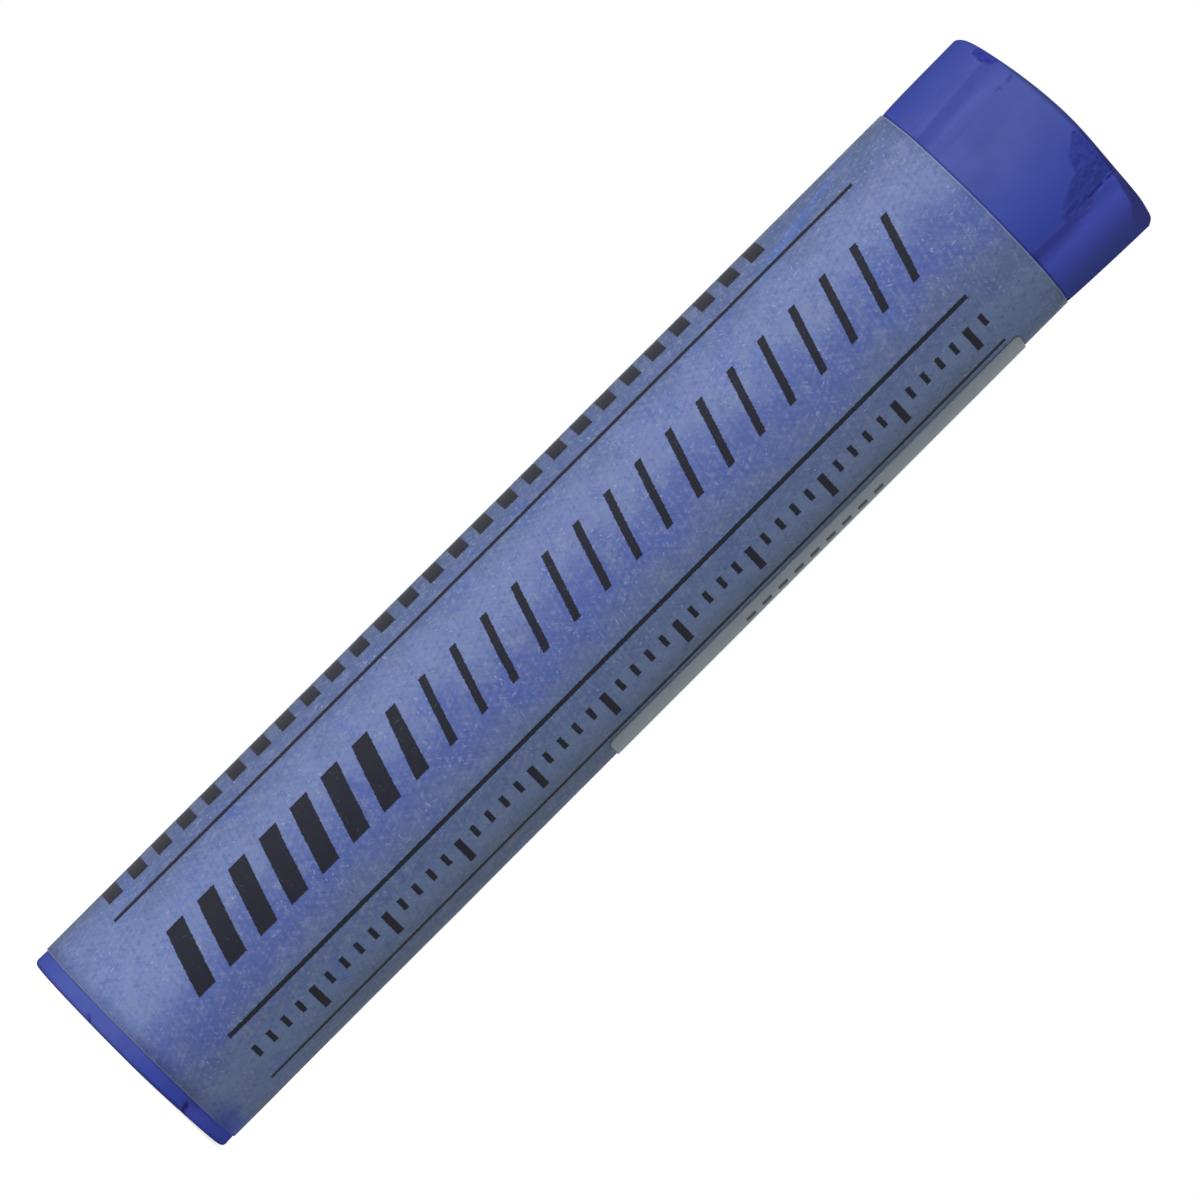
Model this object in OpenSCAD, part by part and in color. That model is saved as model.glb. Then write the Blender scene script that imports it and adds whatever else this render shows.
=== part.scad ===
// Soft pastel stick in its rolled paper wrapper, with a small label stuck to the wrapper.
// The stick stands on its flat foot. +Z runs along its axis and the origin is the middle of the foot.
// Angles round the stick are counted from the front (-Y) towards +X.

/* [Pastel stick] */
// Diameter of the stick
stick_d = 12.8; // [9:0.1:18]
// Length from the flat foot to the top of the crown
stick_len = 65; // [50:0.5:90]
// Rounding of the foot's edge
foot_round = 0.35; // [0.2:0.05:0.9]
// Radius of the domed crown at the top
crown_r = 27; // [18:0.5:50]
// Lean of the crown, in degrees
crown_lean = 3.5; // [0:0.25:5]
// Place of the crown's high side, in degrees
crown_high_at = 34; // [0:1:359]
// Rounding of the rim around the crown
rim_round = 0.55; // [0.3:0.05:1.2]
// How far the pressed rim spreads past the side of the stick
rim_spread = 0.15; // [0:0.05:0.3]

/* [Seam and chips] */
// Place of the hollow that the seam leaves along the stick, in degrees
seam_at = 43; // [0:1:359]
// Width of that hollow
seam_w = 2.3; // [1:0.1:3.2]
// Depth of that hollow
seam_deep = 0.4; // [0.15:0.05:0.6]
// Height of the chip that opens from the hollow's edge to the rim
chip_tall = 4.2; // [2:0.1:5]
// Reach of that chip away from the hollow, along the rim
chip_left = 2.8; // [1:0.1:3.5]
// Reach of that chip into the hollow, along the rim
chip_right = 1; // [0.4:0.1:2]
// Depth of that chip at its lower point
chip_deep = 0.2; // [0.1:0.05:0.6]
// Slope of that chip's floor into the stick, in degrees
chip_slope = 9; // [2:0.5:14]
// Place of the small rim nick, in degrees
rim_nick_at = 311; // [0:1:359]
// Width of the small rim nick
rim_nick_w = 1.5; // [0.6:0.1:2.4]
// Height of the small rim nick
rim_nick_tall = 1.5; // [1:0.1:2.5]
// Place of the foot nick, in degrees
foot_nick_at = 334; // [0:1:359]
// Width of the foot nick
foot_nick_w = 0.8; // [0.4:0.1:1.5]
// Height of the foot nick
foot_nick_tall = 0.8; // [0.4:0.1:1.5]
// Depth of both nicks at their points
nick_deep = 0.1; // [0.05:0.05:0.3]
// Slope of both nicks' floors into the stick, in degrees
nick_slope = 16; // [5:1:30]

/* [Paper wrapper] */
// Thickness of the wrapping paper
paper_t = 0.06; // [0.04:0.01:0.25]
// Air left between the stick and the paper
paper_gap = 0.01; // [0.01:0.01:0.1]
// Bare stick left below the wrapper
foot_bare = 0.9; // [0.6:0.1:4]
// Bare stick left above the wrapper
top_bare = 6.4; // [5:0.1:12]

/* [Label] */
// Thickness of the label
label_t = 0.08; // [0.04:0.01:0.2]
// Film of glue under the label
glue_t = 0.01; // [0.01:0.01:0.05]
// Place of the label's front edge, in degrees
label_at = 64; // [0:1:359]
// Width of the label, measured round the wrapper
label_w = 14; // [6:0.5:20]
// Length of the label, along the stick
label_len = 28.2; // [10:0.1:34]
// Paper left between the label and the wrapper's top edge
label_drop = 3; // [1:0.1:8]
// Radius of the label's corners
label_corner = 1; // [0.4:0.1:2]
// Paper left between the label and the wrapper's free edge, measured round
lap_clear = 1.5; // [0.5:0.1:4]

/* [Hidden] */
$fn = 128;

stick_r = stick_d / 2;
rim_r = stick_r + rim_spread;
seam_half = asin(seam_w / 2 / stick_r);
seam_r = (pow(seam_w / 2, 2) + pow(seam_deep, 2)) / (2 * seam_deep);
wrap_in = stick_r + paper_gap;
wrap_out = wrap_in + paper_t;
wrap_len = stick_len - foot_bare - top_bare;
wrap_top = foot_bare + wrap_len;

label_in = wrap_out + glue_t;
label_out = label_in + label_t;
label_turn = turn_of(label_w, label_in);
label_foot = wrap_top - label_drop - label_len;
lap_at = label_at + label_turn + turn_of(lap_clear, wrap_out);

// A cutter runs past the face that it opens by this much
past = 1;
// A label corner's rounding runs out past each side by this much
corner_run = 0.05;
// Steps in a rounded edge and in the crown's arc
arc_steps = 6;
// Steepest slope of the rim's rounding, where it runs out into the side of the stick
rim_slope = 70;

pastel_colour = [0.28, 0.33, 0.63];
paper_colour = [0.43, 0.49, 0.68];
label_colour = [0.9, 0.9, 0.88];

// Angle that a length measured round a circle takes up
function turn_of(length, radius) = length / radius * 180 / PI;

// Points of an arc, with angles counted from +Y towards +X
function arc(centre, radius, from, to) = [
    for (step = [0 : arc_steps])
        let (angle = from + (to - from) * step / arc_steps)
        centre + radius * [sin(angle), cos(angle)]
];

// Turns a shape that points along +X to a place round the stick
module place(angle) {
    rotate([0, 0, angle - 90])
        children();
}

// Side and foot of the stick, turned about its axis, with the bare top spreading towards the rim
module turned_body() {
    top_z = stick_len + past;
    foot_edge = arc([stick_r - foot_round, foot_round], foot_round, 180, 90);
    spread = [[stick_r, wrap_top], [rim_r, stick_len], [rim_r, top_z]];
    rotate_extrude()
        polygon(concat([[0, 0]], foot_edge, spread, [[0, top_z]]));
}

// Form that crowns the top: a dome with a rounded rim, leaning to one side
module crown_form() {
    rim_in = rim_r - rim_round;
    reach = crown_r - rim_round;
    rim_turn = asin(rim_in / reach);
    dome = arc([0, 0], crown_r, 0, rim_turn);
    rim = arc([rim_in, reach * cos(rim_turn)], rim_round, rim_turn, rim_slope);
    rim_end = rim[arc_steps];
    skirt_out = stick_len * sin(crown_lean) + past;
    skirt_end = rim_end + [skirt_out, -skirt_out * tan(rim_slope)];
    floor_z = crown_r - stick_len - stick_r;
    place(crown_high_at)
        translate([crown_r * sin(crown_lean), 0, stick_len - crown_r])
            rotate([0, -crown_lean, 0])
                rotate_extrude()
                    polygon(concat(dome, rim, [skirt_end, [skirt_end.x, floor_z], [0, floor_z]]));
}

// Round-bottomed hollow that the seam leaves down the whole side
module seam_hollow() {
    place(seam_at)
        translate([stick_r * cos(seam_half) - seam_deep + seam_r, 0, -past])
            cylinder(r = seam_r, h = stick_len + 2 * past);
}

// Splinter lost from an edge: three-sided, its point on the side and its floor sloping inwards
module splinter(left, right, tall, deep, slope) {
    spread = (tall + past) / tall;
    translate([stick_r - deep, 0, -tall])
        rotate([0, -slope, 0])
            rotate([90, 0, 90])
                linear_extrude(stick_r)
                    polygon([[0, 0], [right, tall] * spread, [-left, tall] * spread]);
}

module pastel_stick() {
    color(pastel_colour)
        difference() {
            intersection() {
                turned_body();
                crown_form();
            }
            seam_hollow();
            translate([0, 0, stick_len])
                place(seam_at - seam_half)
                    splinter(chip_left, chip_right, chip_tall, chip_deep, chip_slope);
            translate([0, 0, stick_len])
                place(rim_nick_at)
                    splinter(rim_nick_w / 2, rim_nick_w / 2, rim_nick_tall, nick_deep, nick_slope);
            mirror([0, 0, 1])
                place(foot_nick_at)
                    splinter(foot_nick_w / 2, foot_nick_w / 2, foot_nick_tall, nick_deep, nick_slope);
        }
}

// Paper rolled once round the stick: its outer end climbs over the inner end and stops at a free edge
module paper_wrapper() {
    climb = wrap_out + past;
    color(paper_colour)
        translate([0, 0, foot_bare])
            difference() {
                union() {
                    cylinder(r = wrap_out, h = wrap_len);
                    place(lap_at)
                        intersection() {
                            translate([paper_t, 0, 0])
                                cylinder(r = wrap_out, h = wrap_len);
                            cube([climb, climb, wrap_len]);
                        }
                }
                translate([0, 0, -past])
                    cylinder(r = wrap_in, h = wrap_len + 2 * past);
            }
}

// What the rounding takes off a label corner whose sides run along +Y and +Z
module corner_waste() {
    difference() {
        translate([0, -past, -past])
            cube([label_out + past, past + label_corner, past + label_corner]);
        translate([-past, label_corner, label_corner])
            rotate([0, 90, 0])
                cylinder(r = label_corner + corner_run, h = label_out + 3 * past);
    }
}

// Small paper label with rounded corners, bent round the wrapper
module back_label() {
    color(label_colour)
        translate([0, 0, label_foot])
            difference() {
                place(label_at)
                    rotate_extrude(angle = label_turn)
                        translate([label_in, 0])
                            square([label_t, label_len]);
                for (end = [0, 1], top = [0, 1])
                    place(label_at + end * label_turn)
                        mirror([0, end, 0])
                            translate([0, 0, top * label_len])
                                mirror([0, 0, top])
                                    corner_waste();
            }
}

pastel_stick();
paper_wrapper();
back_label();
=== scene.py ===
import math

import bmesh
import bpy
import numpy as np
from mathutils import Matrix, Vector, noise


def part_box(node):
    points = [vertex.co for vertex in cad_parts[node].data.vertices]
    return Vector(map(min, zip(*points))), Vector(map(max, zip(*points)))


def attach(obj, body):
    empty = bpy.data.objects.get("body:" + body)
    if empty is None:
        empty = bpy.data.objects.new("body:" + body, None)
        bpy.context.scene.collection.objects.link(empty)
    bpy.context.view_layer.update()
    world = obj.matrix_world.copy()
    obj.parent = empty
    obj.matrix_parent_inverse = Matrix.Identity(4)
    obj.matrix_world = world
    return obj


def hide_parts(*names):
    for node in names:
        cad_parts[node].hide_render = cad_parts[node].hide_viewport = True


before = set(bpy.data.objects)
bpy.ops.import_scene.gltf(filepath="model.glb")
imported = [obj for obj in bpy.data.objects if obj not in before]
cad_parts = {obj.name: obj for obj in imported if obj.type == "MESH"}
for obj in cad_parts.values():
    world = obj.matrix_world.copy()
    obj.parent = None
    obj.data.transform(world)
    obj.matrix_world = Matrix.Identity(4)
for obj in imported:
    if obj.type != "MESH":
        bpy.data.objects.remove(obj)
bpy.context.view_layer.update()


# Pastel stick
# A round bar of pigment and chalk, pressed damp with a little gum and dried. The seam of the press left
# a hollow down one side, and a splinter has broken off the domed end where that hollow meets the rim.

mm = 0.001
_, stick_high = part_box("pastel_stick")
wrap_low, wrap_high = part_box("paper_wrapper")
paper_t = 0.06 * mm
paper_gap = 0.01 * mm
wrap_r = wrap_high.x
stick_r = wrap_r - paper_t - paper_gap
stick_len = stick_high.z

foot_round = 0.25 * mm
foot_spread = 0.04 * mm
rim_round = 0.4 * mm
rim_spread = 0.2 * mm
rim_r = stick_r + rim_spread
rim_in = rim_r - rim_round
crown_r = 27 * mm
crown_lean = math.radians(3.5)
crown_high = math.radians(34)
crown_drop = crown_r * (1 - math.cos(crown_lean))
rim_turn = math.asin(rim_in / (crown_r - rim_round))
rim_z = stick_len - crown_r + (crown_r - rim_round) * math.cos(rim_turn)


def arc(middle, radius, start, stop, steps):
    """Points of an arc as radius and height, with angles counted from straight up."""
    angles = np.linspace(start, stop, steps)
    return np.column_stack((middle[0] + radius * np.sin(angles), middle[1] + radius * np.cos(angles)))


def side_radius(height):
    """Radius of the unbroken side: true under the paper, spreading a little at the foot and the rim."""
    above = np.clip((height - wrap_high.z) / (stick_len - wrap_high.z), 0, 1)
    below = np.clip((wrap_low.z - height) / wrap_low.z, 0, 1)
    return stick_r + rim_spread * np.sqrt(above) + foot_spread * np.sqrt(below)


def smooth(start, stop, value):
    """Runs from 0 to 1 between two values, easing in and out."""
    share = np.clip((value - start) / (stop - start), 0, 1)
    return share * share * (3 - 2 * share)


# Rings run from the middle of the foot, up the side and over the rim to the middle of the crown
foot_step = 0.1 * mm
rim_step = 0.075 * mm
foot_in = side_radius(foot_round) - foot_round
foot_disc = np.column_stack((np.linspace(0.15, 0.95, 6) * foot_in, np.zeros(6)))
side_heights = np.concatenate((
    np.arange(foot_round, wrap_low.z + mm, foot_step)[1:],
    np.linspace(wrap_low.z + 2 * mm, wrap_high.z - 2 * mm, 5),
    np.arange(wrap_high.z - 0.5 * mm, rim_z, rim_step),
))
rings = np.vstack((
    foot_disc,
    arc((foot_in, foot_round), foot_round, math.pi, math.pi / 2, 8),
    np.column_stack((side_radius(side_heights), side_heights)),
    arc((rim_in, rim_z), rim_round, math.pi / 2, rim_turn, 15),
    arc((0, stick_len - crown_r), crown_r, rim_turn, 0.01, 22)[1:],
))

# Angles round the stick are counted from the front, -Y, towards +X, and lie closest at the front
front_turn = math.radians(96)
turn = np.concatenate((
    np.linspace(-front_turn, front_turn, 421),
    np.linspace(front_turn, 2 * math.pi - front_turn, 110)[1:-1],
))[np.newaxis, :]
radius = np.repeat(rings[:, :1], turn.size, axis=1)
height = np.repeat(rings[:, 1:], turn.size, axis=1)
lean_share = smooth(wrap_high.z, rim_z, height)
lean = math.tan(crown_lean) * radius * np.cos(turn - crown_high) - crown_drop
height = height + lean * lean_share

# The crown dips a little right of its middle, and the foot lifts towards the right
dip_deep = 0.13 * mm
dip_x = 3.1 * mm
dip_w = 2.3 * mm
foot_lift = 0.12 * mm
crown_dip = dip_deep * np.exp(-((radius * np.sin(turn) - dip_x) / dip_w) ** 2)
height = height - crown_dip * lean_share
foot_rise = foot_lift * smooth(0, stick_r, radius * np.sin(turn))
height = height + foot_rise * (1 - smooth(0, wrap_low.z, height))


def roughness(scale, seed, stretch=1.0):
    """Even noise from -1 to 1 at every point; stretch draws it out along the stick."""
    x, y, z = radius * np.sin(turn) * scale, -radius * np.cos(turn) * scale, height * scale / stretch
    points = zip(x.ravel(), y.ravel(), z.ravel())
    return np.array([noise.noise(Vector(p) + Vector((seed, 0, 0))) for p in points]).reshape(radius.shape)


def break_face(facing, tilt, reach):
    """Distance from the axis to a flat break that faces one way round, tilted up, reach from the origin."""
    least = 0.05
    towards = np.cos(turn - facing)
    limit = (reach - math.sin(tilt) * height) / (math.cos(tilt) * np.maximum(towards, least))
    return np.where(towards > least, limit, np.inf)


def press_mark(lip, wall, width, deep):
    """Depth of a mark left by the press: a wall at its lip on the left, then a floor that eases back out."""
    along = (turn - lip) * stick_r + 0 * height
    return deep * smooth(0, wall, along) * np.clip(1 - along / width, 0, 1) ** 2


# The hollow of the seam runs the whole length; a faint flute beside it shows on the bare end
seam_lip = math.radians(33)
hollow_w = 2.9 * mm
hollow_wall = 0.8 * mm
no_wall = 0.001 * mm
hollow_deep = 0.12 * mm + 0.3 * mm * smooth(wrap_low.z, wrap_high.z, height)
hollow_face = side_radius(height) - press_mark(seam_lip, hollow_wall, hollow_w, hollow_deep)
hollow_floor = side_radius(height) - press_mark(seam_lip, no_wall, hollow_w, hollow_deep)
flute_lip = math.radians(-47)
flute = press_mark(flute_lip, 0.5 * mm, 2.6 * mm, 0.08 * mm) * smooth(0.9, 1.0, radius / stick_r)

# The splinter left two faces: a long one from the lip of the hollow, and a short one along the rim
hackle = roughness(1700, 3.0, 1.5) * 0.08 * mm


def splinter_face(facing, tilt, meets, level):
    """A flat break that meets the side of the stick at one place round it and one height."""
    outwards = math.cos(tilt) * side_radius(level) * math.cos(meets - facing)
    return break_face(facing, tilt, outwards + math.sin(tilt) * level)


fine_hackle = roughness(4200, 7.0) * 0.03 * mm
long_turn = math.radians(37)
long_tilt = math.radians(6.5)
long_foot = 60.7 * mm
short_turn = math.radians(22)
short_tilt = math.radians(9)
short_foot = 62.7 * mm
long_face = splinter_face(long_turn, long_tilt, seam_lip, long_foot) + 0.3 * hackle + fine_hackle
short_face = splinter_face(short_turn, short_tilt, short_turn, short_foot) + hackle + 0.5 * fine_hackle
chip_face = np.minimum(long_face, short_face)
chip_face = np.where(turn > seam_lip, np.maximum(chip_face, hollow_floor), chip_face)


def rim_bite(facing, tilt, bite):
    """A flat break across the rim's rounding, bite deep."""
    edge = rim_z + math.tan(crown_lean) * rim_r * math.cos(facing - crown_high) - crown_drop
    top = math.cos(tilt) * rim_in + math.sin(tilt) * edge + rim_round
    return break_face(facing, tilt, top - bite)


# A nick in the rim at the left, with ends that close quickly
nick_turn = math.radians(-50.5)
nick_half = math.radians(6.5)
nick_tilt = math.radians(36)
nick_bite = 0.24 * mm
nick_stop = np.clip(np.abs(turn - nick_turn) - nick_half, 0, None) * stick_r * 1.2
nick_face = rim_bite(nick_turn, nick_tilt, nick_bite) + hackle + nick_stop

# The rim is worn to a slope on the right, from a foot that falls away from the chip
worn_turn = np.radians((8, 25, 36, 42, 51, 57, 62, 68, 76, 84, 110))
worn_level = np.array((64.49, 64.35, 64.25, 64.1, 63.95, 63.7, 63.5, 63.5, 63.75, 64.0, 64.4)) * mm
worn_foot = np.interp(turn, worn_turn, worn_level, left=stick_len, right=stick_len)
worn_slope = 0.47
worn_face = side_radius(worn_foot) - worn_slope * (height - worn_foot) + 0.2 * hackle
worn_face = np.where(height > worn_foot, worn_face, np.inf)
worn = smooth(-0.03 * mm, 0.05 * mm, height - worn_foot) * smooth(0.84, 0.92, radius / stick_r)


def fine_crack(offset, width, deep, low, high):
    """Depth of a crack in the side that runs between two heights, fading at both ends."""
    ends = smooth(low - 0.2 * mm, low + 0.1 * mm, height)
    ends = ends * (1 - smooth(high - 0.1 * mm, high + 0.2 * mm, height))
    return deep * np.exp(-(offset / width) ** 2) * ends * smooth(0.9, 0.97, radius / stick_r)


waver = roughness(1600, 5.0) * 0.12 * mm


def round_from(degrees):
    """Distance round the side from a place on it, wavering as a crack does."""
    return (turn - math.radians(degrees)) * stick_r + waver


# Fine cracks: one below the rim, one along the lip through the chip, and two slanting up from the foot
rim_crack = fine_crack(round_from(-30.5), 0.06 * mm, 0.065 * mm, 63.1 * mm, 64.1 * mm)
lip_crack = fine_crack(round_from(34.3), 0.11 * mm, 0.08 * mm, 62.6 * mm, 64.6 * mm)
crack_slant = 0.7 * (height - 0.3 * mm)
foot_crack = fine_crack(round_from(-25) + crack_slant, 0.1 * mm, 0.12 * mm, -0.3 * mm, 0.25 * mm)
notch_slant = 0.4 * (height - 0.4 * mm)
foot_notch = fine_crack(round_from(36) + notch_slant, 0.16 * mm, 0.16 * mm, -0.3 * mm, 0.55 * mm)
open_share = smooth(-0.3, 0.1, roughness(2600, 9.0))
cracks = (rim_crack + lip_crack) * open_share + foot_crack + foot_notch

# Each break cuts the side back to its own face; fresh says how freshly broken each point is
whole = np.minimum(radius, hollow_face)
broken = np.minimum(chip_face, nick_face)
fresh = np.clip((whole - broken) / (0.04 * mm), 0, 1)
chip_share = np.where(long_face < short_face, 0.45, 0.75)
fresh = fresh * np.where(nick_face < chip_face, 1.0, chip_share)
fresh = np.maximum(fresh, np.clip(cracks / (0.08 * mm), 0, 1))
side_share = smooth(0.86, 0.96, radius / stick_r)
unevenness = roughness(250, 11.0, 3.0) * 0.015 * mm * side_share
radius = np.minimum(np.minimum(whole, broken), worn_face) - cracks - flute + unevenness
rim_shift = 0.05 * mm * lean_share

# Corners in rings, with one more in the middle of the foot and of the crown
across, front = radius * np.sin(turn) + rim_shift, radius * np.cos(turn)
corners = np.column_stack((across.ravel(), -front.ravel(), height.ravel()))
corners = np.vstack((corners, ((0, 0, 0), (rim_shift.max(), 0, stick_len - crown_drop))))
ring_count, side_count = radius.shape
foot_middle = ring_count * side_count
crown_middle = foot_middle + 1
here = np.arange(side_count)
following = np.roll(here, -1)
faces = []
for ring in range(ring_count - 1):
    low, high = ring * side_count, (ring + 1) * side_count
    faces += np.column_stack((low + here, low + following, high + following, high + here)).tolist()
last = (ring_count - 1) * side_count
faces += [(foot_middle, b, a) for a, b in zip(here.tolist(), following.tolist())]
faces += [(crown_middle, last + a, last + b) for a, b in zip(here.tolist(), following.tolist())]

sharp_turn = math.radians(48)
stick_mesh = bpy.data.meshes.new("pressed_stick")
stick_mesh.from_pydata(corners.tolist(), [], faces)
stick_mesh.shade_smooth()
stick_mesh.set_sharp_from_angle(angle=sharp_turn)
for name, share in (("fresh_break", fresh), ("worn_rim", worn), ("side", side_share)):
    mark = stick_mesh.attributes.new(name, "FLOAT", "POINT")
    mark.data.foreach_set("value", np.append(share.ravel(), (0, 0)).astype(np.float32))


def colour(red, green, blue):
    """A colour given as it looks on a screen, 0 to 255, turned into the linear values that shaders use."""
    shares = [c / 255 for c in (red, green, blue)]
    return [c / 12.92 if c <= 0.04045 else ((c + 0.055) / 1.055) ** 2.4 for c in shares] + [1.0]


def put(tree, kind, sockets=None, **settings):
    """Adds a node with its settings, and fills its sockets with values or with links to other nodes."""
    made = tree.nodes.new(kind)
    for name, value in settings.items():
        setattr(made, name, value)
    for socket, value in (sockets or {}).items():
        if isinstance(value, bpy.types.NodeSocket):
            tree.links.new(value, made.inputs[socket])
        else:
            made.inputs[socket].default_value = value
    return made


def sums(tree, operation, first, second=0.0, third=0.0):
    """One step of arithmetic on values."""
    return put(tree, "ShaderNodeMath", {0: first, 1: second, 2: third}, operation=operation).outputs[0]


def ramp(tree, value, start, stop, low=0.0, high=1.0, kind="SMOOTHSTEP"):
    """Maps a value from one range to another, held at both ends."""
    sockets = {"Value": value, "From Min": start, "From Max": stop, "To Min": low, "To Max": high}
    return put(tree, "ShaderNodeMapRange", sockets, interpolation_type=kind).outputs["Result"]


def grain(tree, vector, scale, detail=2.0, roughness=0.5):
    """Even cloudy noise from 0 to 1."""
    sockets = {"Vector": vector, "Scale": scale, "Detail": detail, "Roughness": roughness}
    return put(tree, "ShaderNodeTexNoise", sockets).outputs["Fac"]


def tint(tree, share, first, second):
    """Blends from one colour to another."""
    made = put(tree, "ShaderNodeMix", {0: share, 6: first, 7: second}, data_type="RGBA")
    return made.outputs[2]


def new_material(name):
    """An empty material with its shader wired to the output; returns its tree and shader."""
    made = bpy.data.materials.new(name)
    made.use_nodes = True
    made.node_tree.nodes.clear()
    shader = put(made.node_tree, "ShaderNodeBsdfPrincipled")
    put(made.node_tree, "ShaderNodeOutputMaterial", {"Surface": shader.outputs[0]})
    return made, made.node_tree, shader


pastel, tree, shader = new_material("pressed_pastel")
place = put(tree, "ShaderNodeTexCoord").outputs["Object"]
spot = put(tree, "ShaderNodeSeparateXYZ", {0: place}).outputs
aside, up = spot[0], spot[2]
clouds = grain(tree, place, 420, 3.0)
powder = grain(tree, place, 11000, 2.0, 0.6)
dragged = put(tree, "ShaderNodeMapping", {"Vector": place, "Scale": (1, 1, 0.1)}).outputs[0]
streaks = grain(tree, dragged, 900, 4.0, 0.6)
broken_share = put(tree, "ShaderNodeAttribute", attribute_name="fresh_break").outputs["Fac"]
worn_share = put(tree, "ShaderNodeAttribute", attribute_name="worn_rim").outputs["Fac"]
side_part = put(tree, "ShaderNodeAttribute", attribute_name="side").outputs["Fac"]
front_part = sums(tree, "MULTIPLY", side_part, ramp(tree, spot[1], 1.5 * mm, -1.0 * mm))

# On the front the blue is cooler at the left edge, deeper towards the hollow and lighter on its far flank: a
# painted sheen and a painted highlight
plain_blue = tint(tree, ramp(tree, clouds, 0.3, 0.7), colour(74, 86, 158), colour(81, 93, 166))
# Painted sheen: the middle stays paler, and the blue deepens towards the left edge and towards the hollow
blue = tint(tree, ramp(tree, aside, -4.0 * mm, -6.4 * mm, 0.0, 0.8), plain_blue, colour(62, 76, 162))
blue = tint(tree, ramp(tree, aside, -2.0 * mm, 3.0 * mm, 0.0, 0.85), blue, colour(62, 79, 177))
# Painted highlight: a lighter blue along the hollow's far flank
blue = tint(tree, ramp(tree, aside, 3.7 * mm, 4.4 * mm), blue, colour(80, 94, 202))
# Painted sheen: a greyer blue towards the right edge, above the foot
edge = sums(tree, "MULTIPLY", ramp(tree, aside, 4.9 * mm, 6.3 * mm), ramp(tree, up, 2 * mm, 9 * mm))
blue = tint(tree, edge, blue, colour(71, 82, 161))
foot = sums(tree, "MULTIPLY", ramp(tree, aside, 1.5 * mm, -1.0 * mm),
            ramp(tree, up, 9 * mm, 2 * mm, 0.0, 0.35))
blue = tint(tree, foot, blue, colour(90, 104, 184))
leaning = sums(tree, "MULTIPLY_ADD", up, 0.08, aside)
drag = sums(tree, "MULTIPLY", ramp(tree, leaning, 0.2 * mm, 0.4 * mm),
            ramp(tree, leaning, 0.7 * mm, 1.2 * mm, 0.75, 0.0))
drag = sums(tree, "MULTIPLY", drag, ramp(tree, up, 40 * mm, 50 * mm))
blue = tint(tree, drag, blue, colour(62, 74, 150))
# Painted light: a brighter blue on the hollow's wall, which lies in shade
wall = sums(tree, "MULTIPLY", ramp(tree, aside, 3.4 * mm, 3.6 * mm),
            ramp(tree, aside, 3.8 * mm, 4.5 * mm, 0.6, 0.0))
blue = tint(tree, wall, blue, colour(80, 88, 190))
blue = tint(tree, front_part, plain_blue, blue)

# Powder and drag marks all over, then the breaks, the sloped rim coloured darker, and a painted shade along
# the line where the paper ends
blue = tint(tree, ramp(tree, streaks, 0.5, 0.7, 0, 0.35), blue, colour(62, 75, 154))
blue = tint(tree, ramp(tree, powder, 0.55, 0.8, 0, 0.25), blue, colour(94, 108, 178))
crumbs = ramp(tree, grain(tree, place, 3000, 3.0, 0.6), 0.3, 0.7)
broken_blue = tint(tree, crumbs, colour(47, 55, 141), colour(64, 74, 165))
blue = tint(tree, broken_share, blue, broken_blue)
# The sloped rim on the right is coloured darker, darkest next to the chip
sloped_rim_blue = tint(tree, ramp(tree, aside, 4.2 * mm, 5.6 * mm), colour(58, 61, 128), colour(77, 81, 161))
blue = tint(tree, sums(tree, "MULTIPLY", worn_share, 0.9), blue, sloped_rim_blue)
# Painted shade: a darker line on the bare pigment just above the paper's top edge
paper_edge_shade = sums(tree, "MULTIPLY", ramp(tree, up, 40 * mm, 50 * mm, 0.0, 0.6),
                  ramp(tree, up, wrap_high.z + 0.04 * mm, wrap_high.z + 0.16 * mm, 1.0, 0.0))
blue = tint(tree, paper_edge_shade, blue, colour(44, 54, 132))
lumps = sums(tree, "MULTIPLY_ADD", powder, 0.6, sums(tree, "MULTIPLY", streaks, 0.4))
bump = put(tree, "ShaderNodeBump", {"Height": lumps, "Strength": 0.25, "Distance": 0.03 * mm})
tree.links.new(blue, shader.inputs["Base Color"])
tree.links.new(bump.outputs[0], shader.inputs["Normal"])
shader.inputs["Roughness"].default_value = 1.0
shader.inputs["Specular IOR Level"].default_value = 0.0
stick_mesh.materials.append(pastel)

stick = bpy.data.objects.new("pressed_stick", stick_mesh)
bpy.context.scene.collection.objects.link(stick)
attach(stick, "root")
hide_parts("pastel_stick")


# Paper wrapper
# One sheet of thin translucent paper, printed in black and rolled once round the stick, its outer end
# glued down over its inner end at the back. The pigment shows through where the paper touches it.

lap_edge = math.radians(201)
lap_turn = 5 * mm / wrap_r
sheet_start = lap_edge - 2 * math.pi
sheet_stop = lap_edge + lap_turn
sheet_w = (sheet_stop - sheet_start) * wrap_r
wrap_len = wrap_high.z - wrap_low.z


def new_group(name, kind, inputs, outputs):
    """An empty node group with named sockets; returns it with its input sockets and its output node."""
    made = bpy.data.node_groups.new(name, kind)
    for direction, sockets in (("INPUT", inputs), ("OUTPUT", outputs)):
        for socket, socket_kind in sockets.items():
            made.interface.new_socket(socket, in_out=direction, socket_type=socket_kind)
    start = made.nodes.new("NodeGroupInput")
    end = made.nodes.new("NodeGroupOutput")
    return made, start.outputs, end


VALUE, VECTOR = "NodeSocketFloat", "NodeSocketVector"

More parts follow.
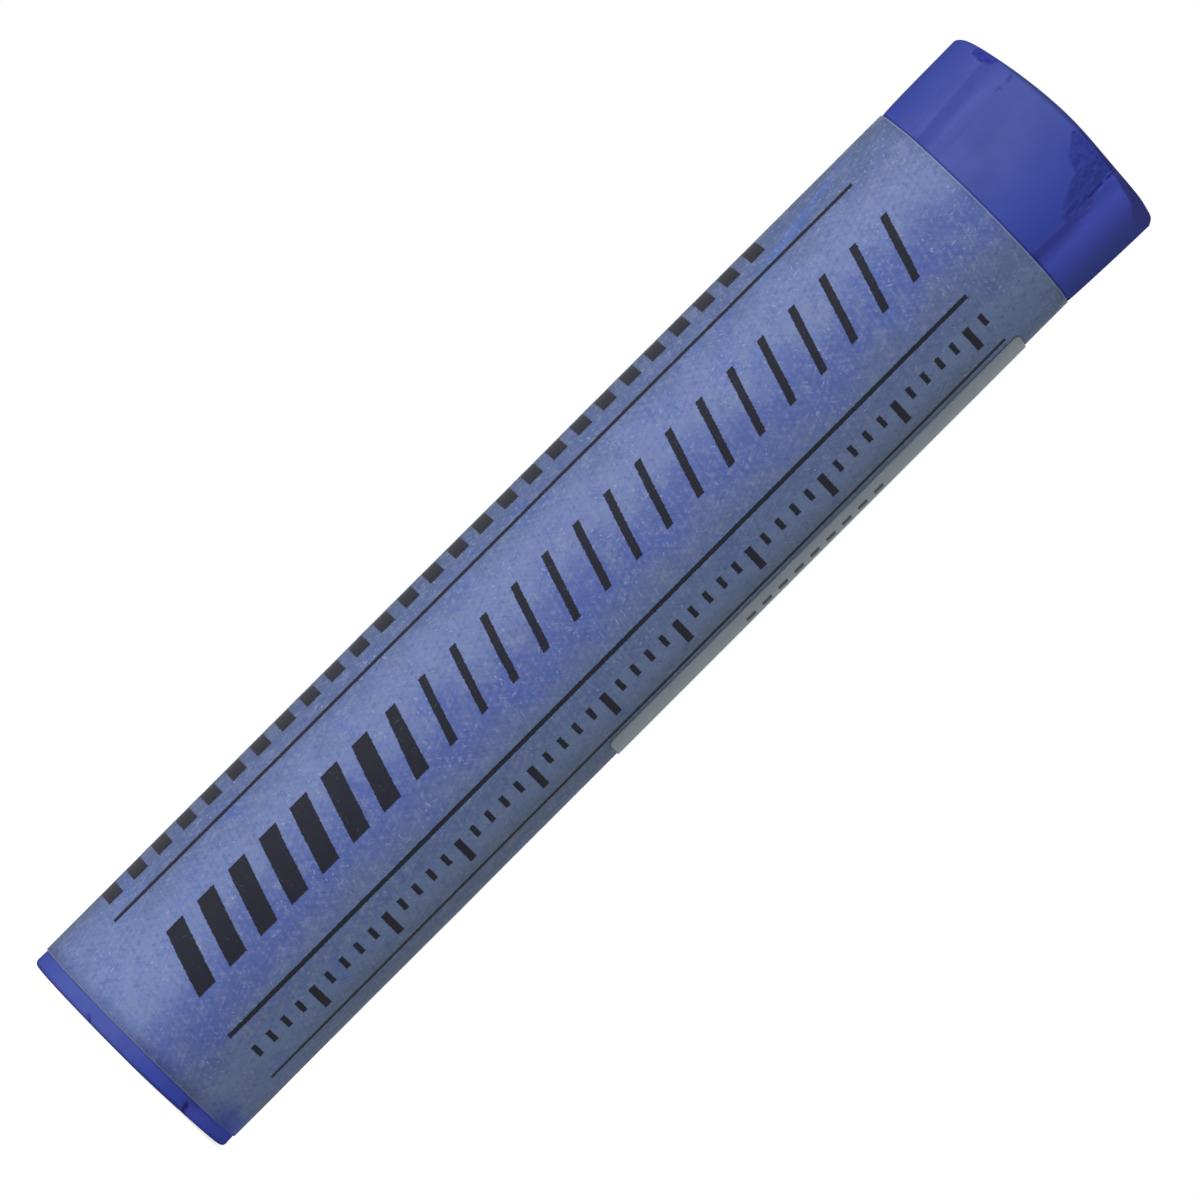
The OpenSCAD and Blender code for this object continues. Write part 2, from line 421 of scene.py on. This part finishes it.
# A printed field: 1 inside a rectangle on the flat sheet, with edges as soft as ink on paper
bar_group, given, result = new_group(
    "printed_bar", "ShaderNodeTree",
    {"Across": VALUE, "Up": VALUE, "Left": VALUE, "Right": VALUE, "Foot": VALUE, "Top": VALUE, "Soft": VALUE},
    {"Ink": VALUE},
)
sides = []
for axis, low, high in (("Across", "Left", "Right"), ("Up", "Foot", "Top")):
    for edge, start, stop in ((low, 0.0, 1.0), (high, 1.0, 0.0)):
        ahead = sums(bar_group, "ADD", given[edge], given["Soft"])
        behind = sums(bar_group, "SUBTRACT", given[edge], given["Soft"])
        sides.append(ramp(bar_group, given[axis], behind, ahead, start, stop))
inked = sums(bar_group, "MULTIPLY", sums(bar_group, "MULTIPLY", sides[0], sides[1]),
             sums(bar_group, "MULTIPLY", sides[2], sides[3]))
bar_group.links.new(inked, result.inputs["Ink"])

# A row of like marks: 1 on each mark, one every pitch
row_group, given, result = new_group(
    "printed_row", "ShaderNodeTree",
    {"Along": VALUE, "Pitch": VALUE, "Width": VALUE, "Soft": VALUE},
    {"Ink": VALUE},
)
share = sums(row_group, "FRACT", sums(row_group, "DIVIDE", given["Along"], given["Pitch"]))
off_middle = sums(row_group, "ABSOLUTE", sums(row_group, "SUBTRACT", share, 0.5))
off_middle = sums(row_group, "MULTIPLY", off_middle, given["Pitch"])
half = sums(row_group, "MULTIPLY", given["Width"], 0.5)
inner = sums(row_group, "SUBTRACT", half, given["Soft"])
outer = sums(row_group, "ADD", half, given["Soft"])
row_group.links.new(ramp(row_group, off_middle, inner, outer, 1.0, 0.0), result.inputs["Ink"])

# Felted fibres: three crossing layers of drawn-out noise, about 0.5 on average
felt_group, given, result = new_group(
    "paper_felt", "ShaderNodeTree", {"Vector": VECTOR, "Fineness": VALUE}, {"Felt": VALUE},
)
felt = 0.0
for lie in (-50, 10, 65):
    turned = put(felt_group, "ShaderNodeVectorRotate", {
        "Vector": given["Vector"], "Angle": math.radians(lie),
    }, rotation_type="Z_AXIS").outputs[0]
    drawn = put(felt_group, "ShaderNodeVectorMath", {
        0: turned, 1: (0.2, 1, 1),
    }, operation="MULTIPLY").outputs[0]
    felt = sums(felt_group, "ADD", felt, grain(felt_group, drawn, given["Fineness"], 2.0, 0.6))
felt_group.links.new(sums(felt_group, "DIVIDE", felt, 3.0), result.inputs["Felt"])

# Short pale fibres, one in each cell of a scatter, each lying its own way and some brighter than others
fibre_group, given, result = new_group(
    "paper_fibres", "ShaderNodeTree",
    {"Vector": VECTOR, "Crowding": VALUE, "Length": VALUE, "Width": VALUE},
    {"Fibres": VALUE},
)
cell = put(fibre_group, "ShaderNodeTexVoronoi", {"Vector": given["Vector"], "Scale": given["Crowding"]},
           voronoi_dimensions="2D").outputs
chance = put(fibre_group, "ShaderNodeSeparateColor", {0: cell["Color"]}).outputs
away = put(fibre_group, "ShaderNodeVectorMath", {0: given["Vector"], 1: cell["Position"]},
           operation="SUBTRACT").outputs[0]
turned = put(fibre_group, "ShaderNodeVectorRotate", {
    "Vector": away, "Angle": sums(fibre_group, "MULTIPLY", chance[0], math.pi),
}, rotation_type="Z_AXIS").outputs[0]
split = put(fibre_group, "ShaderNodeSeparateXYZ", {0: turned}).outputs
fibre = sums(fibre_group, "POWER", chance[1], 3.0)
for along, size in ((split[0], given["Length"]), (split[1], given["Width"])):
    half = sums(fibre_group, "MULTIPLY", size, 0.5)
    within = ramp(fibre_group, sums(fibre_group, "ABSOLUTE", along), 0.0, half, 1.0, 0.0)
    fibre = sums(fibre_group, "MULTIPLY", fibre, within)
fibre_group.links.new(fibre, result.inputs["Fibres"])


def in_group(tree, group, sockets):
    """Places a node group and returns its one output."""
    return put(tree, "ShaderNodeGroup", sockets, node_tree=group).outputs[0]


paper, tree, shader = new_material("printed_wrapping_paper")
flat = put(tree, "ShaderNodeUVMap", uv_map="sheet").outputs[0]
flat = put(tree, "ShaderNodeMapping", {
    "Vector": flat,
    "Scale": (sheet_w / mm, wrap_len / mm, 1),
    "Location": (sheet_start * wrap_r / mm, wrap_low.z / mm, 0),
}).outputs[0]

# Across and up are in millimetres on the flat sheet; the print runs a little askew at the right
split = put(tree, "ShaderNodeSeparateXYZ", {0: flat}).outputs
up = split[1]
skew_level = 30.0
skew = -0.0009
askew = sums(tree, "MULTIPLY", sums(tree, "SUBTRACT", skew_level, up), skew)
across = sums(tree, "MULTIPLY_ADD", sums(tree, "MAXIMUM", split[0], 0.0), askew, split[0])

# The paper is bluest where it lies tight on the pigment, in the middle, and paler beside that, partly a
# painted sheen;
# it bridges the hollow at the right, stands off the stick beyond it, is greyer at the left, and has painted
# shade at both edges
wander = sums(tree, "MULTIPLY_ADD", grain(tree, flat, 0.4, 3.0), 4.0, -2.0)
wander = sums(tree, "SUBTRACT", wander, ramp(tree, up, 12.0, 2.0, 0.0, 0.9))
wandering = sums(tree, "ADD", across, wander)
# Outside the tight band the paper is paler, which left of the middle is partly a painted sheen
tight = sums(tree, "MULTIPLY", ramp(tree, wandering, -2.6, -0.4), ramp(tree, wandering, 1.0, 3.2, 1.0, 0.0))
sheet_colour = tint(tree, tight, colour(114, 129, 177), colour(91, 107, 168))
sheet_colour = tint(tree, ramp(tree, wandering, -3.5, -6.5, 0.0, 0.8), sheet_colour, colour(88, 104, 143))
# Painted shade: darker towards the left edge
sheet_colour = tint(tree, ramp(tree, across, -6.8, -9.6, 0.0, 0.9), sheet_colour, colour(79, 93, 123))
sheet_colour = tint(tree, ramp(tree, wandering, 0.9, 2.5, 0.0, 0.9), sheet_colour, colour(99, 115, 155))
sheet_colour = tint(tree, ramp(tree, across, 3.4, 4.9, 0.0, 0.9), sheet_colour, colour(119, 139, 178))
beside = sums(tree, "MULTIPLY", ramp(tree, up, 5.0, 10.0), ramp(tree, up, 55.0, 52.0))
beside = sums(tree, "MULTIPLY", beside, ramp(tree, across, 5.4, 6.4, 0.0, 0.9))
sheet_colour = tint(tree, beside, sheet_colour, colour(109, 125, 150))
# Painted shade: darker towards the right edge
sheet_colour = tint(tree, ramp(tree, across, 6.4, 9.4, 0.0, 0.9), sheet_colour, colour(80, 94, 120))
# Behind both edges the painted shade gives way to a lighter paper blue
behind = sums(tree, "MAXIMUM", ramp(tree, across, 9.4, 16.0), ramp(tree, across, -9.4, -16.0))
sheet_colour = tint(tree, behind, sheet_colour, colour(112, 128, 172))
low_left = sums(tree, "MULTIPLY", ramp(tree, up, 9.0, 3.0, 0.0, 0.5), ramp(tree, across, 1.5, -1.0))
low_left = sums(tree, "MULTIPLY", low_left, ramp(tree, across, -9.6, -6.0))
sheet_colour = tint(tree, low_left, sheet_colour, colour(126, 144, 198))

# Blue patches where dust has come through, one rubbed streak high on the left, and a felt of fibres over all
clouds = grain(tree, flat, 0.7, 5.0, 0.65)
patches = grain(tree, flat, 0.3, 5.0, 0.65)
low_down = sums(tree, "MULTIPLY", ramp(tree, up, 3.0, 12.0, 0.07, 0.0), ramp(tree, across, -2.0, 0.0))
low_down = sums(tree, "MULTIPLY", low_down, ramp(tree, across, 4.0, 2.0))
patch = ramp(tree, sums(tree, "ADD", patches, low_down), 0.52, 0.72, 0.0, 0.5)
sheet_colour = tint(tree, patch, sheet_colour, colour(78, 104, 178))
rub = sums(tree, "MULTIPLY_ADD", up, 0.335, across)
rub = sums(tree, "MULTIPLY", ramp(tree, rub, 10.0, 10.5), ramp(tree, rub, 10.6, 11.1, 1.0, 0.0))
rub = sums(tree, "MULTIPLY", rub, ramp(tree, up, 47.5, 50.5))
rub = sums(tree, "MULTIPLY", rub, ramp(tree, up, 57.0, 55.0, 0.0, 0.55))
sheet_colour = tint(tree, rub, sheet_colour, colour(82, 114, 192))
sheet_colour = tint(tree, ramp(tree, clouds, 0.5, 0.3, 0.0, 0.5), sheet_colour, colour(122, 134, 168))
felt = in_group(tree, felt_group, {"Vector": flat, "Fineness": 5.0})
sheet_colour = tint(tree, ramp(tree, felt, 0.5, 0.62, 0.0, 0.45), sheet_colour, colour(134, 146, 180))
sheet_colour = tint(tree, ramp(tree, felt, 0.5, 0.38, 0.0, 0.35), sheet_colour, colour(72, 86, 138))

fibres = ramp(tree, grain(tree, flat, 4.0, 3.0), 0.62, 0.8, 0.0, 0.9)
for crowding, length, width in ((1.1, 0.5, 0.09), (1.7, 0.32, 0.1), (2.6, 0.22, 0.1)):
    layer = in_group(tree, fibre_group, {
        "Vector": flat, "Crowding": crowding, "Length": length, "Width": width,
    })
    fibres = sums(tree, "MAXIMUM", layer, fibres)
clusters = ramp(tree, grain(tree, flat, 0.6, 3.0), 0.38, 0.68, 0.15, 1.0)
fibres = sums(tree, "MULTIPLY", fibres, clusters)
sheet_colour = tint(tree, sums(tree, "MULTIPLY", fibres, 0.7), sheet_colour, colour(186, 196, 212))

# Print: three rules, a scale of strokes from heavy to light, a row of ticks and a row of small bars
print_foot, print_top = 4.3, 55.0
rule_w = 0.26
rule_turns = (-51.6, 25.3, 60.3)
stroke_slant = 0.32
stroke_count = 24
heavy_w = 1.15
light_w = 0.45
ink_soft = 0.03
bleed = sums(tree, "MULTIPLY_ADD", grain(tree, flat, 7.0, 2.0), 0.1, -0.05)
inked_x = sums(tree, "ADD", across, bleed)
inked_z = sums(tree, "ADD", up, bleed)
ink = 0.0
for rule_turn in rule_turns:
    rule_x = math.radians(rule_turn) * wrap_r / mm
    ink = sums(tree, "MAXIMUM", ink, in_group(tree, bar_group, {
        "Across": inked_x, "Up": inked_z, "Left": rule_x - rule_w / 2, "Right": rule_x + rule_w / 2,
        "Foot": print_foot, "Top": print_top, "Soft": ink_soft,
    }))

from_foot = sums(tree, "SUBTRACT", inked_z, print_foot)
slanted = sums(tree, "MULTIPLY_ADD", inked_x, stroke_slant, from_foot)
print_len = print_top - print_foot
stroke_pitch = print_len / stroke_count
stroke_w = ramp(tree, up, 18.0, 23.0, heavy_w, light_w)

# Each row: what it runs along, pitch, width of a mark, left and right in degrees, and how far up it goes
rows = (
    (slanted, stroke_pitch, stroke_w, -27.0, 4.2, print_len),
    (from_foot, 1.0, 0.3, 36.8, 44.0, print_len),
    (sums(tree, "SUBTRACT", from_foot, 2.0), 5.0, 0.42, 36.8, 52.0, print_len - 2.0),
    (from_foot, 1.7, 0.95, -84.0, -64.0, print_len - 5.1),
)
for along, pitch, width, left, right, extent in rows:
    marks = in_group(tree, row_group, {"Along": along, "Pitch": pitch, "Width": width, "Soft": ink_soft})
    band = in_group(tree, bar_group, {
        "Across": inked_x, "Up": along,
        "Left": math.radians(left) * wrap_r / mm, "Right": math.radians(right) * wrap_r / mm,
        "Foot": 0.0, "Top": extent, "Soft": ink_soft,
    })
    ink = sums(tree, "MAXIMUM", ink, sums(tree, "MULTIPLY", marks, band))
ink = sums(tree, "MULTIPLY", ink, sums(tree, "SUBTRACT", 0.97, sums(tree, "MULTIPLY", fibres, 0.15)))
sheet_colour = tint(tree, ink, sheet_colour, colour(38, 38, 43))

# Cut edges are paler, from their fibres and a painted highlight, and dust has rubbed off on the paper next to
# the bare pigment at the foot
# Paler cut edges: pale fibres, with a painted highlight where the edge catches the light
cut_edge = sums(tree, "MAXIMUM", ramp(tree, up, wrap_high.z / mm - 0.09, wrap_high.z / mm - 0.03),
                ramp(tree, up, wrap_low.z / mm + 0.03, wrap_low.z / mm + 0.07, 1.0, 0.0))
sheet_colour = tint(tree, sums(tree, "MULTIPLY", cut_edge, 0.45), sheet_colour, colour(170, 180, 196))
dust = sums(tree, "MULTIPLY", ramp(tree, sums(tree, "MULTIPLY_ADD", clouds, 2.0, up), 2.2, 3.6, 1.0, 0.0),
            ramp(tree, across, 4.2, 7.0))
dust = sums(tree, "MULTIPLY", dust, ramp(tree, across, 15.0, 10.0))
sheet_colour = tint(tree, sums(tree, "MULTIPLY", dust, 0.85), sheet_colour, colour(60, 84, 172))

relief = sums(tree, "MULTIPLY_ADD", fibres, 0.5, sums(tree, "ADD", clouds, felt))
bump = put(tree, "ShaderNodeBump", {"Height": relief, "Strength": 0.15, "Distance": 0.05 * mm})
tree.links.new(sheet_colour, shader.inputs["Base Color"])
tree.links.new(bump.outputs[0], shader.inputs["Normal"])
shader.inputs["Roughness"].default_value = 0.6
shader.inputs["Specular IOR Level"].default_value = 0.06

# The roll: a flat grid bent to a cylinder, its outer end lifted by one thickness over its inner end
INTEGER, GEOMETRY, MATERIAL = "NodeSocketInt", "NodeSocketGeometry", "NodeSocketMaterial"
roll, given, result = new_group(
    "rolled_sheet", "GeometryNodeTree",
    {
        "Columns": INTEGER, "Rows": INTEGER, "Radius": VALUE, "Thickness": VALUE,
        "Start": VALUE, "Stop": VALUE, "Lap": VALUE, "Climb": VALUE,
        "Foot": VALUE, "Length": VALUE, "Unevenness": VALUE, "Paper": MATERIAL,
    },
    {"Sheet": GEOMETRY},
)
grid = put(roll, "GeometryNodeMeshGrid", {"Vertices X": given["Columns"], "Vertices Y": given["Rows"]})
spot = put(roll, "ShaderNodeSeparateXYZ", {0: put(roll, "GeometryNodeInputPosition").outputs[0]}).outputs
angle = ramp(roll, spot[0], -0.5, 0.5, given["Start"], given["Stop"], "LINEAR")
level = sums(roll, "ADD", spot[1], 0.5)
lap_end = sums(roll, "ADD", given["Start"], given["Lap"])
climb_end = sums(roll, "ADD", lap_end, given["Climb"])
lift = sums(roll, "MULTIPLY", ramp(roll, angle, lap_end, climb_end, 1.0, 0.0), given["Thickness"])
around = put(roll, "ShaderNodeCombineXYZ", {
    0: sums(roll, "SINE", angle), 1: sums(roll, "COSINE", angle), 2: sums(roll, "MULTIPLY", level, 6.0),
}).outputs[0]
waver = sums(roll, "SUBTRACT", grain(roll, around, 1.6, 1.0), 0.5)
lift = sums(roll, "MULTIPLY_ADD", waver, given["Unevenness"], lift)
reach = sums(roll, "ADD", given["Radius"], lift)
edge_waver = sums(roll, "SUBTRACT", grain(roll, around, 5.0, 3.0), 0.5)
rise = sums(roll, "MULTIPLY_ADD", level, given["Length"], given["Foot"])
rise = sums(roll, "MULTIPLY_ADD", edge_waver, given["Unevenness"], rise)
bent = put(roll, "ShaderNodeCombineXYZ", {
    0: sums(roll, "MULTIPLY", reach, sums(roll, "SINE", angle)),
    1: sums(roll, "MULTIPLY", sums(roll, "MULTIPLY", reach, sums(roll, "COSINE", angle)), -1.0),
    2: rise,
}).outputs[0]
stored = put(roll, "GeometryNodeStoreNamedAttribute", {
    "Geometry": grid.outputs["Mesh"], "Name": "sheet", "Value": grid.outputs["UV Map"],
}, data_type="FLOAT2", domain="CORNER").outputs[0]
placed = put(roll, "GeometryNodeSetPosition", {"Geometry": stored, "Position": bent}).outputs[0]
shaded = put(roll, "GeometryNodeSetShadeSmooth", {"Geometry": placed}).outputs[0]
real = put(roll, "GeometryNodeRealizeInstances", {"Geometry": shaded}).outputs[0]
finished = put(roll, "GeometryNodeSetMaterial", {"Geometry": real, "Material": given["Paper"]}).outputs[0]
roll.links.new(finished, result.inputs["Sheet"])

wrapper = bpy.data.objects.new("rolled_wrapper", bpy.data.meshes.new("rolled_wrapper"))
bpy.context.scene.collection.objects.link(wrapper)
rolling = wrapper.modifiers.new("roll", "NODES")
rolling.node_group = roll
climb_turn = math.radians(46)
sheet_waver = 0.05 * mm
roll_sizes = {
    "Columns": 320, "Rows": 64, "Radius": wrap_r, "Thickness": paper_t + paper_gap,
    "Start": sheet_start, "Stop": sheet_stop, "Lap": lap_turn, "Climb": climb_turn,
    "Foot": wrap_low.z, "Length": wrap_len, "Unevenness": sheet_waver, "Paper": paper,
}
for socket in roll.interface.items_tree:
    if socket.in_out == "INPUT":
        rolling[socket.identifier] = roll_sizes[socket.name]
thickness = wrapper.modifiers.new("paper", "SOLIDIFY")
thickness.thickness = paper_t
thickness.offset = -1


def settle(piece):
    """Turns a piece and its modifiers into one plain mesh."""
    shaped = piece.evaluated_get(bpy.context.evaluated_depsgraph_get())
    before = piece.data
    piece.data = bpy.data.meshes.new_from_object(shaped)
    piece.modifiers.clear()
    bpy.data.meshes.remove(before)
    piece.data.name = piece.name


settle(wrapper)
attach(wrapper, "root")
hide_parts("paper_wrapper")


# Label
# A small slip of white gummed paper with rounded corners, stuck to the wrapper at the back. Its front
# edge comes round into view, and it carries no more than a column of plain dashes.

label_low, label_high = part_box("back_label")
label_t = 0.08 * mm
label_r = label_high.x
label_corner = 0.3 * mm
label_turn = math.radians(64)
label_start = label_turn * label_r
label_w = 14 * mm
label_len = label_high.z - label_low.z
corner_levels = label_corner * (1 - np.cos(np.linspace(0, math.pi / 2, 9)))
levels = np.concatenate((
    corner_levels,
    np.linspace(label_corner, label_len - label_corner, 30)[1:-1],
    (label_len - corner_levels)[::-1],
))
columns = np.linspace(0, 1, 70)

slip = bmesh.new()
slip_uv = slip.loops.layers.uv.new("slip")
lattice = []
for level in levels:
    from_end = min(level, label_len - level, label_corner)
    inset = label_corner - math.sqrt(label_corner ** 2 - (label_corner - from_end) ** 2)
    row = []
    for share in columns:
        along = inset + share * (label_w - 2 * inset)
        angle = (label_start + along) / label_r
        corner = slip.verts.new((label_r * math.sin(angle), -label_r * math.cos(angle), label_low.z + level))
        row.append((corner, (along / label_w, level / label_len)))
    lattice.append(row)
for low_row, high_row in zip(lattice, lattice[1:]):
    for column in range(len(columns) - 1):
        loop = (low_row[column], low_row[column + 1], high_row[column + 1], high_row[column])
        face = slip.faces.new([corner for corner, _ in loop])
        face.smooth = True
        for face_loop, (_, spot) in zip(face.loops, loop):
            face_loop[slip_uv].uv = spot
label_mesh = bpy.data.meshes.new("stuck_label")
slip.to_mesh(label_mesh)
slip.free()

label_paper, tree, shader = new_material("white_label_paper")
flat = put(tree, "ShaderNodeUVMap", uv_map="slip").outputs[0]
flat = put(tree, "ShaderNodeMapping", {
    "Vector": flat, "Scale": (label_w / mm, label_len / mm, 1),
}).outputs[0]
split = put(tree, "ShaderNodeSeparateXYZ", {0: flat}).outputs
clouds = grain(tree, flat, 0.5, 4.0)
white = tint(tree, ramp(tree, clouds, 0.3, 0.7), colour(146, 157, 166), colour(156, 166, 174))
smudge = ramp(tree, grain(tree, flat, 0.35, 3.0), 0.56, 0.78, 0.0, 0.3)
white = tint(tree, smudge, white, colour(128, 146, 182))
dash_pitch = 1.1
dash_w = 0.62
dashes = in_group(tree, row_group, {
    "Along": split[1], "Pitch": dash_pitch, "Width": dash_w, "Soft": ink_soft,
})
dash_band = in_group(tree, bar_group, {
    "Across": split[0], "Up": split[1], "Left": 1.0, "Right": 1.7, "Foot": 9.0, "Top": 18.7,
    "Soft": ink_soft,
})
white = tint(tree, sums(tree, "MULTIPLY", dashes, dash_band), white, colour(48, 48, 52))
fibre = in_group(tree, fibre_group, {"Vector": flat, "Crowding": 2.0, "Length": 0.4, "Width": 0.1})
bump = put(tree, "ShaderNodeBump", {"Height": fibre, "Strength": 0.1, "Distance": 0.02 * mm})
tree.links.new(white, shader.inputs["Base Color"])
tree.links.new(bump.outputs[0], shader.inputs["Normal"])
shader.inputs["Roughness"].default_value = 0.6
shader.inputs["Specular IOR Level"].default_value = 0.15
label_mesh.materials.append(label_paper)

label = bpy.data.objects.new("stuck_label", label_mesh)
bpy.context.scene.collection.objects.link(label)
thickness = label.modifiers.new("paper", "SOLIDIFY")
thickness.thickness = label_t
thickness.offset = -1
settle(label)
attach(label, "root")
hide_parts("back_label")


# Studio
# A white floor and surround, a broad soft lamp at the left of the stick and weaker ones right and behind.
# The long lens is rolled, so that the standing stick lies across the picture from corner to corner.

floor_half = 0.35
floor_corners = [(x * floor_half, y * floor_half, 0) for x, y in ((-1, -1), (1, -1), (1, 1), (-1, 1))]
floor_mesh = bpy.data.meshes.new("studio_floor")
floor_mesh.from_pydata(floor_corners, [], [(0, 1, 2, 3)])
floor = bpy.data.objects.new("studio_floor", floor_mesh)
bpy.context.scene.collection.objects.link(floor)


def seen_directly(tree):
    """1 for rays that show the surround itself: from the camera, or by way of gloss or glass."""
    path = put(tree, "ShaderNodeLightPath").outputs
    shown = sums(tree, "MAXIMUM", path["Is Camera Ray"], path["Is Glossy Ray"])
    return sums(tree, "MAXIMUM", shown, path["Is Transmission Ray"])


floor_white = (0.8, 0.8, 0.8, 1)
floor_glow = 0.8
white_floor = bpy.data.materials.new("white_floor")
white_floor.use_nodes = True
tree = white_floor.node_tree
tree.nodes.clear()
matt = put(tree, "ShaderNodeBsdfDiffuse", {"Color": floor_white})
glow = put(tree, "ShaderNodeEmission", {"Strength": sums(tree, "MULTIPLY", seen_directly(tree), floor_glow)})
lit = put(tree, "ShaderNodeAddShader", {0: matt.outputs[0], 1: glow.outputs[0]})
put(tree, "ShaderNodeOutputMaterial", {"Surface": lit.outputs[0]})
floor_mesh.materials.append(white_floor)

surround_light = 0.2
surround = bpy.data.worlds.new("white_surround")
surround.use_nodes = True
tree = surround.node_tree
tree.nodes.clear()
strength = ramp(tree, seen_directly(tree), 0.0, 1.0, surround_light, 1.0, "LINEAR")
sky = put(tree, "ShaderNodeBackground", {"Color": (1, 1, 1, 1), "Strength": strength})
put(tree, "ShaderNodeOutputWorld", {"Surface": sky.outputs[0]})
bpy.context.scene.world = surround

middle = Vector((0, 0, stick_len / 2))
lamp_away = 0.7
lamp_w = 0.3
lamp_tall = 0.5


def soft_lamp(name, turn, climb, watts):
    """A rectangular lamp round the stick from the front, climbing above it, turned to face its middle."""
    lamp = bpy.data.lights.new(name, "AREA")
    lamp.shape = "RECTANGLE"
    lamp.size = lamp_w
    lamp.size_y = lamp_tall
    lamp.energy = watts
    holder = bpy.data.objects.new(name, lamp)
    bpy.context.scene.collection.objects.link(holder)
    out = Vector((math.sin(turn) * math.cos(climb), -math.cos(turn) * math.cos(climb), math.sin(climb)))
    holder.location = middle + out * lamp_away
    holder.rotation_euler = (-out).to_track_quat("-Z", "Y").to_euler()
    holder.visible_camera = False


soft_lamp("key_lamp", math.radians(-40), math.radians(18), 4.0)
soft_lamp("edge_lamp", math.radians(78), math.radians(5), 0.85)
soft_lamp("back_lamp", math.radians(180), math.radians(6), 2.4)

picture_w = 58.75 * mm
sensor_w = 36.0
aim_x = 0.57 * mm
aim_z = 32.1 * mm
camera_z = 20.4 * mm
camera_away = 584 * mm
camera_roll = math.radians(45)
camera_data = bpy.data.cameras.new("long_lens")
camera_data.sensor_width = sensor_w
camera_data.clip_end = 50
camera = bpy.data.objects.new("long_lens", camera_data)
bpy.context.scene.collection.objects.link(camera)
aim = Vector((aim_x, 0, aim_z))
camera.location = Vector((aim_x, -camera_away, camera_z))
sight = aim - camera.location
camera_data.lens = sensor_w * sight.length / picture_w
level_view = sight.to_track_quat("-Z", "Y")
rolled_view = level_view.to_matrix().to_4x4() @ Matrix.Rotation(camera_roll, 4, "Z")
camera.rotation_euler = rolled_view.to_euler()
bpy.context.scene.camera = camera
bpy.context.scene.view_settings.view_transform = "Standard"
